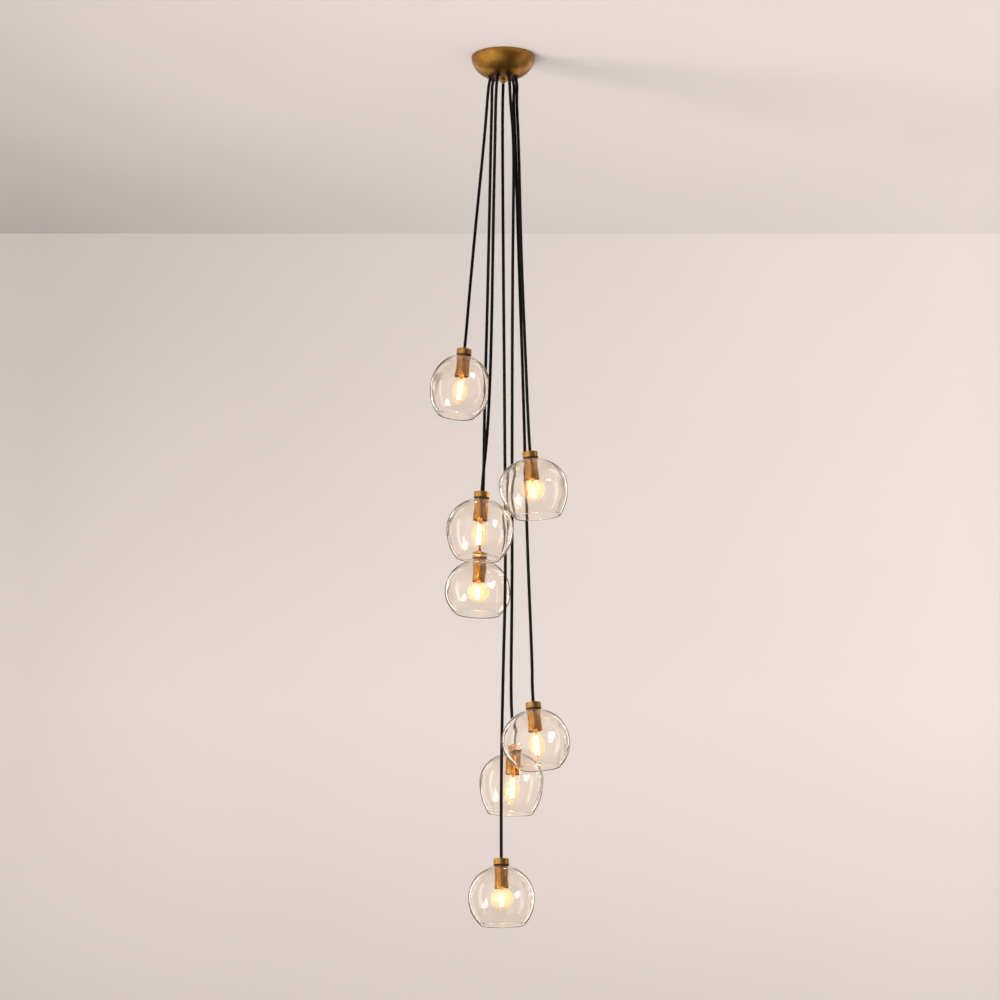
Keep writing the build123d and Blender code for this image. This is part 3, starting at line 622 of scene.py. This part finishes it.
def globe_shape():
    """The round bulb's half section."""
    radius, join = GLOBE_RADIUS, GLOBE_JOIN_SHARE * GLOBE_RADIUS
    centre = -4.5 - math.sqrt(radius**2 - join**2)
    knots = [(BULB_NECK_RADIUS, -1.0), (7.2, -2.6), (9.0, -3.8),
             (join, centre + math.sqrt(radius**2 - join**2))]
    start = math.acos(join / radius)
    for k in range(1, 15):
        a = start - (start + math.pi / 2) * k / 14
        knots.append((radius * math.cos(a), centre + radius * math.sin(a)))
    knots[-1] = (0, knots[-1][1])
    return smooth_line(knots)


def smooth_line(knots, steps=6):
    """A Catmull-Rom line through the knots."""
    k = np.array([knots[0], *knots, (-knots[-2][0], knots[-2][1])], float)
    line = []
    for a, b, c, d in zip(k, k[1:], k[2:], k[3:]):
        for step in range(steps):
            t = step / steps
            line.append(0.5 * (2 * b + (c - a) * t + (2 * a - 5 * b + 4 * c - d) * t * t
                               + (3 * b - a - 3 * c + d) * t**3))
    line.append(np.array(knots[-1], float))
    line = np.array(line)
    line[:, 0] = np.maximum(line[:, 0], 0)
    return [tuple(p) for p in line]


def bulb(number):
    where, body = lamp_place(number) @ Matrix.Translation((0, 0, BASE_RIM)), f"bulb_glass_{number}"
    kind = LAMPS[number]["bulb"]
    shape = candle_shape if kind == "candle" else globe_shape
    outer = shape()
    outer[-1] = (0, outer[-1][1])
    outline = [(0, ENVELOPE_TOP), (BULB_NECK_RADIUS, ENVELOPE_TOP)] + outer
    envelope = turned(f"bulb_{number}_envelope", outline, where, ENVELOPE, body, 96, False)
    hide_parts(f"bulb_glass_{number}")
    length, upper = (44.0, -15.0) if kind == "candle" else (28.0, -19.0)
    lower = upper - 0.5 - length
    stem = rounded([(0, 4.5, 0), (5.0, 4.5, 0.4), (4.6, -1, 1), (2.6, -7, 1.5), (1.6, upper + 1.0, 0.5),
                    (1.1, upper, 0.2), (1.1, lower, 0.3), (0, lower - 0.4, 0)])
    turned(f"bulb_{number}_stem", stem, where, STEM_GLASS, body, 48, False)
    for level, part in ((upper, "upper"), (lower, "lower")):
        plate = rounded([(1.15, level, 0), (5.4, level, 0.15), (5.4, level - 0.45, 0.15),
                         (1.15, level - 0.45, 0)], 2)
        turned(f"bulb_{number}_{part}_support", plate, where, STEEL, body, 48)
    for leg in range(4):
        angle = TAU * (leg + 0.5) / 4
        stick = where @ Matrix.Translation((4.2 * math.cos(angle), 4.2 * math.sin(angle), 0))
        rod = rounded([(0, upper - 0.5, 0), (0.9, upper - 0.5, 0.3), (1.0, upper - 3, 0.5),
                       (1.0, lower + 3, 0.5), (0.9, lower + 0.1, 0.3), (0, lower + 0.1, 0)], 3)
        turned(f"bulb_{number}_filament_{leg + 1}", rod, stick, FILAMENT, body, 20,
               False)


for number in LAMPS:
    shade(number)
    cap(number)
    cup(number)
    holder(number)
    bulb_base(number)
    bulb(number)


# -------------------------------------------------------------------- canopy
def canopy():
    where = Matrix.Scale(MM, 4)
    steps = 72

    def quarter(inset):
        wide, deep = CANOPY_RADIUS - inset, CANOPY_DEPTH - inset
        return [(wide * math.sin(a), -deep * math.cos(a))
                for a in [math.pi / 2 * k / steps for k in range(steps + 1)]]

    outer, inner = quarter(0), quarter(CANOPY_WALL)
    outline = [(3.3, outer[0][1])] + outer[3:-1] + [(CANOPY_RADIUS - 0.02, -0.5), (CANOPY_RADIUS - 0.3, -0.1)]
    outline += [(CANOPY_RADIUS - CANOPY_WALL + 0.2, -0.1)] + inner[3:-1][::-1] + [(3.3, inner[0][1])]
    made = turned("canopy_dome", outline, where, CANOPY_BRASS, "root", 192)
    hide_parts("canopy")
    top = -CANOPY_DEPTH
    knob = rounded([(0, top + 0.2, 0), (5.0, top + 0.2, 0.4), (5.0, top - 2.1, 0.6), (4.5, top - 3.0, 0.4),
                    (4.4, top - 6.0, 0.8), (3.3, top - 9.0, 0.8), (2.4, top - 10.0, 0.6), (0, top - 10.0, 0)])
    made = turned("canopy_knob_brass", knob, where, CAP_BRASS, "root", 64, False)
    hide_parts("canopy_knob")
    for number in range(CORD_COUNT):
        hole = hole_place(number)
        flange = rounded([(5.5, 0.0, 0), (7.0, 0.0, 0), (7.0, -1.5, 0.8), (4.9, -1.5, 0.5), (4.2, 2.0, 0.5),
                          (4.2, 11.0, 0), (5.5, 11.0, 0)])
        made = turned(f"cord_bushing_{number + 1}", flange, hole, BLACK_NYLON, "root", 64)
        if number == 0:
            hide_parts("cord_bushings")


canopy()

for node, material in {"crossbar": STEEL, "hanging_stud": STEEL, "stud_nuts": STEEL, "ground_screw": STEEL,
                       "terminal_blocks": WHITE_NYLON, "terminal_screws": STEEL, "inner_leads": LEAD_SKIN,
                       "bushing_nuts": BLACK_NYLON}.items():
    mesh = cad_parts[node].data
    mesh.materials.clear()
    mesh.materials.append(material)


# --------------------------------------------------------------------- stage
SIDE, BACK, FLOOR, LIFT = 2.4, 1.483, -2.9, 0.0006
PAINT = (0.725, 0.655, 0.625)
CEILING_TONE = 0.90
CEILING_PAINTED_SHADE_LEFT, WALL_PAINTED_SHADE_LEFT, PAINTED_LIGHT_RIGHT = 0.62, 0.73, 1.31  # painted light and shade: the paint is darker to the left and brighter to the right
PAINTED_SHADE_LOW = (0.80, 0.80, 0.80)  # painted shade: the paint darkens towards the floor
FLAG = (0.32, 0.30, 0.28)  # the dark bands that bent rays see, which draw the glass's edges
GLOW_SCALE = 8.0  # the brightness that a ramp's white stands for
ROOM_LIGHT = 0.72


def surface(name, corners, s, shader, seen):
    """One plain side of the room, seen from within by the rays that seen names."""
    clear = s.node("BsdfTransparent")
    front = s.math("SUBTRACT", 1.0, s.node("NewGeometry").outputs["Backfacing"])
    mix = s.node("MixShader")
    s.set(mix, 0, s.math("MULTIPLY", seen, front))
    s.link(clear.outputs[0], mix.inputs[1])
    s.link(shader, mix.inputs[2])
    s.link(mix.outputs[0], s.out.inputs["Surface"])
    mesh = bpy.data.meshes.new(name)
    mesh.from_pydata(corners, [], [(0, 1, 2, 3)])
    mesh.materials.append(s.mat)
    made = bpy.data.objects.new(name, mesh)
    scene.collection.objects.link(made)


def painted(name, corners, tone, left):
    """A painted surface that keeps the object's shadow. Its colour carries painted light to the right, and
    painted shade to the left and towards the floor.
    """
    s = Shader(name + "_paint")
    spot = s.node("SeparateXYZ", Vector=s.place())
    x, z = spot.outputs["X"], spot.outputs["Z"]
    cloud = s.math("MULTIPLY", s.noise(s.place(), 1.3), 0.06)
    across = s.math("ADD", s.math("DIVIDE", x, 2 * SIDE), cloud)
    # painted light and shade across the room: darker to the left, brighter to the right
    painted_light_tones = [tuple(min(1, c * tone * share) for c in PAINT) for share in (left, 1, PAINTED_LIGHT_RIGHT)]
    colour = s.ramp(s.math("ADD", across, 0.47), *zip((0.24, 0.5, 0.76), painted_light_tones))
    # painted shade: darker towards the floor
    lower = s.ramp(s.math("DIVIDE", z, FLOOR), (0.45, (1, 1, 1)), (0.78, PAINTED_SHADE_LOW))
    painted_light_colour = s.node("Mix", data_type="RGBA", blend_type="MULTIPLY")
    s.set(painted_light_colour, 0, 1.0)
    s.set(painted_light_colour, 6, colour)
    s.set(painted_light_colour, 7, lower)
    path = s.node("LightPath")
    bent = s.math("MAXIMUM", path.outputs["Is Glossy Ray"], path.outputs["Is Transmission Ray"])
    bands = zip((0.26, 0.40, 0.72, 0.95), ((1, 1, 1), FLAG, FLAG, (1, 1, 1)))
    flag = s.ramp(s.math("ABSOLUTE", x), *bands)
    beside = s.node("Mix", data_type="RGBA", blend_type="MULTIPLY")
    s.set(beside, 0, bent)
    s.set(beside, 6, painted_light_colour.outputs[2])
    s.set(beside, 7, flag)
    paint = s.node("BsdfDiffuse", Color=beside.outputs[2])
    seen = s.math("MAXIMUM", path.outputs["Is Camera Ray"], bent)
    surface(name, corners, s, paint.outputs[0], seen)


def glowing(name, corners, axis, low, high, *stops):
    """A side of the studio that only reflections and glass see: its brightness runs along an axis."""
    s = Shader(name + "_light")
    place = s.node("SeparateXYZ", Vector=s.place()).outputs[axis]
    run = s.node("MapRange", Value=place)
    run.inputs["From Min"].default_value = low
    run.inputs["From Max"].default_value = high
    level = s.ramp(run.outputs["Result"], *[(at, (v / GLOW_SCALE,) * 3) for at, v in stops])
    tint = s.node("Mix", data_type="RGBA", blend_type="MULTIPLY")
    s.set(tint, 0, 1.0)
    s.set(tint, 6, level)
    s.set(tint, 7, (1.0, 0.955, 0.90, 1))
    light = s.node("Emission", Color=tint.outputs[2], Strength=GLOW_SCALE)
    path = s.node("LightPath")
    seen = s.math("MAXIMUM", path.outputs["Is Glossy Ray"], path.outputs["Is Transmission Ray"])
    surface(name, corners, s, light.outputs[0], seen)


painted("ceiling",
        [(-SIDE, -BACK, LIFT), (-SIDE, BACK, LIFT), (SIDE, BACK, LIFT), (SIDE, -BACK, LIFT)],
        CEILING_TONE, CEILING_PAINTED_SHADE_LEFT)
painted("back_wall", [(-SIDE, BACK, FLOOR), (SIDE, BACK, FLOOR), (SIDE, BACK, LIFT), (-SIDE, BACK, LIFT)],
        1.0, WALL_PAINTED_SHADE_LEFT)
glowing("front", [(-SIDE, -BACK, FLOOR), (-SIDE, -BACK, LIFT), (SIDE, -BACK, LIFT), (SIDE, -BACK, FLOOR)],
        "X", -SIDE, SIDE, (0.0, 1.0), (0.30, 1.5), (0.43, 0.60), (0.55, 0.20), (0.80, 0.18), (1.0, 0.3))
glowing("left", [(-SIDE, -BACK, FLOOR), (-SIDE, BACK, FLOOR), (-SIDE, BACK, LIFT), (-SIDE, -BACK, LIFT)],
        "Y", -BACK, BACK, (0.0, 1.0), (0.30, 0.9), (0.33, 3.2), (0.43, 3.2), (0.46, 0.8),
        (0.75, 0.5), (1.0, 1.2))
glowing("right", [(SIDE, -BACK, FLOOR), (SIDE, -BACK, LIFT), (SIDE, BACK, LIFT), (SIDE, BACK, FLOOR)],
        "Y", -BACK, BACK, (0.0, 0.3), (0.32, 0.25), (0.35, 2.2), (0.43, 2.2), (0.46, 0.25),
        (0.80, 0.2), (1.0, 0.9))
glowing("floor", [(-SIDE, -BACK, FLOOR), (SIDE, -BACK, FLOOR), (SIDE, BACK, FLOOR), (-SIDE, BACK, FLOOR)],
        "X", -SIDE, SIDE, (0.0, 0.3), (0.35, 0.10), (0.65, 0.10), (1.0, 0.2))
for name, near, far in (("left_strip", -1.27, -1.02), ("right_strip", 1.02, 1.27)):
    glowing(name, [(near, BACK - 0.01, FLOOR), (far, BACK - 0.01, FLOOR), (far, BACK - 0.01, LIFT),
                   (near, BACK - 0.01, LIFT)], "X", near, far, (0.0, 3.0), (1.0, 3.0))

world = bpy.data.worlds.new("room_light")
scene.world = world
world.use_nodes = True
world.node_tree.nodes["Background"].inputs["Color"].default_value = (1.0, 0.985, 0.965, 1)
world.node_tree.nodes["Background"].inputs["Strength"].default_value = ROOM_LIGHT


def lamp(name, location, target, size, power, colour=(1.0, 0.97, 0.93)):
    light = bpy.data.lights.new(name, "AREA")
    light.shape = "DISK"
    light.size = size
    light.energy = power
    light.color = colour
    made = bpy.data.objects.new(name, light)
    made.location = location
    made.rotation_euler = (Vector(target) - Vector(location)).to_track_quat("-Z", "Y").to_euler()
    made.visible_glossy = False
    scene.collection.objects.link(made)


lamp("key", (-2.2, -0.95, -2.45), (0.3, 0.3, -0.1), 1.3, 80)

camera = bpy.data.cameras.new("camera")
camera.lens = 126.0
camera.sensor_width = 36.0
camera.clip_end = 60
view = bpy.data.objects.new("camera", camera)
view.location = (-0.00745, -7.772, -2.666)
view.rotation_euler = (math.radians(90 + 11.72), 0, 0)
scene.collection.objects.link(view)
scene.camera = view

scene.view_settings.view_transform = "Standard"
scene.cycles.max_bounces = 28
scene.cycles.transmission_bounces = 28
scene.cycles.transparent_max_bounces = 32
